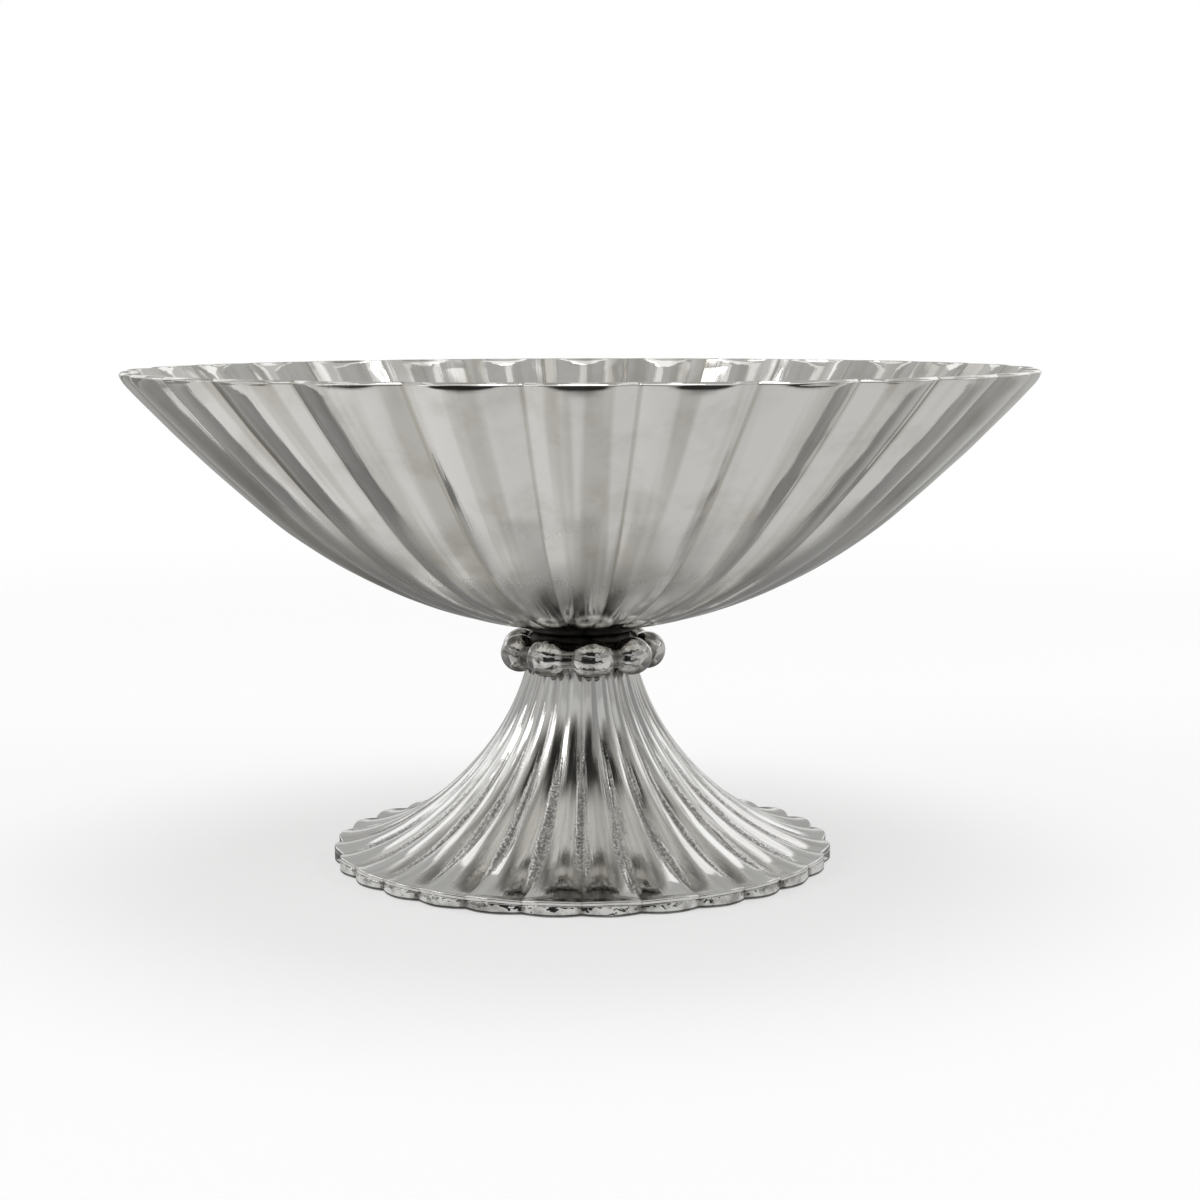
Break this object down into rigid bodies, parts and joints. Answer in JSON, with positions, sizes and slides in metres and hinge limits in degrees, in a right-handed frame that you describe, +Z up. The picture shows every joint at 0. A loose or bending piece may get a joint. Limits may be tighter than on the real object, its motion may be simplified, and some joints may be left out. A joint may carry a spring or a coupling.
{
  "type": "footed compote bowl",
  "caption": "Wide fluted bowl on a fluted trumpet foot with a beaded collar between them, in polished silver-coloured metal, for serving fruit or sweets.",
  "frame": {"origin": "on the table, at the middle of the foot's scalloped edge", "axes": "+Z up along the axis of the bowl and the foot; a crown of the bowl's fluting and a valley of the foot's face -Y"},
  "size_m": [0.24, 0.24, 0.1316],
  "materials": {
    "bowl_silver": "polished by hand, fine swirl marks, warm tarnish along the valleys",
    "foot_silver": "polished crowns, finely grained strips beside the valleys",
    "collar_silver": "polished casting, darkened in the recesses",
    "band_silver": "polished, worn and nicked along its edges",
    "shaded_silver": "tarnished, dull",
    "turned_brass": "as turned",
    "plain_steel": "plain, lightly oiled"
  },
  "bodies": {
    "root": {"bowl_shell": "bowl_silver", "neck_boss": "shaded_silver", "threaded_stud": "plain_steel", "locating_bush": "turned_brass", "bead_ring": "collar_silver", "foot_shell": "foot_silver", "foot_edge_band": "band_silver", "clamp_washer": "turned_brass", "hex_nut": "plain_steel"}
  },
  "joints": []
}
